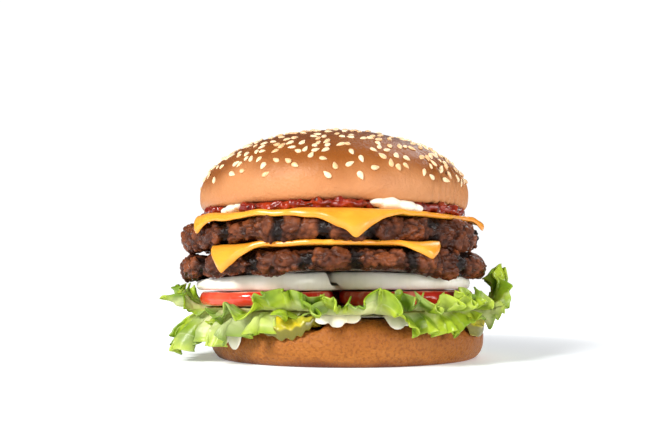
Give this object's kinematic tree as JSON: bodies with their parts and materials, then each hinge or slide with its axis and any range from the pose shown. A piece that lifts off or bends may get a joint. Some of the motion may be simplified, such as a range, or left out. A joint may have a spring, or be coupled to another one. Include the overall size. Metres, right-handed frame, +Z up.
{
  "type": "double cheeseburger",
  "caption": "Double cheeseburger in a sesame bun, with beef patties, melted cheese, onion, tomato, lettuce, pickle, ketchup and mayonnaise, standing on its flat underside.",
  "frame": {"origin": "centre of the flat underside of the heel bun, on which the burger stands", "axes": "+Z up through the burger, -Y towards its front, where the corners of the cheese hang, +X to the right seen from the front"},
  "size_m": [0.1339, 0.1307, 0.0902],
  "materials": {
    "bun": "baked golden-brown crust with a soft sheen, paler low on the sides",
    "beef": "grilled ground beef, rough and moist, with dark seared bands",
    "cheese": "melted processed cheese, smooth and softly glossy",
    "ketchup": "wet, chunky tomato ketchup",
    "mayonnaise": "smooth glossy mayonnaise",
    "onion": "raw white onion with faint rings, wet",
    "tomato": "raw red tomato, wet, with glossy skin",
    "lettuce": "crisp green leaf lettuce, veined, with pale ribs and frilled edges",
    "pickle": "crinkle-cut pickled cucumber, wet, with an olive rim",
    "sesame": "hulled sesame seeds, cream to golden"
  },
  "bodies": {
    "root": {"heel_bun": "bun", "mayo_lower": "mayonnaise", "pickle_front": "pickle", "pickle_right": "pickle", "pickle_left": "pickle", "pickle_back": "pickle", "lettuce_left": "lettuce", "lettuce_tuft": "lettuce", "lettuce_fold": "lettuce", "lettuce_front": "lettuce", "lettuce_curl": "lettuce", "lettuce_right": "lettuce", "lettuce_back": "lettuce", "tomato_left": "tomato", "tomato_right": "tomato", "tomato_back": "tomato", "onion_left": "onion", "onion_right": "onion", "onion_back": "onion", "patty_lower": "beef", "cheese_lower": "cheese", "patty_upper": "beef", "cheese_upper": "cheese", "ketchup": "ketchup", "mayo_dab_right": "mayonnaise", "mayo_dab_left": "mayonnaise", "top_bun": "bun"}
  },
  "joints": []
}
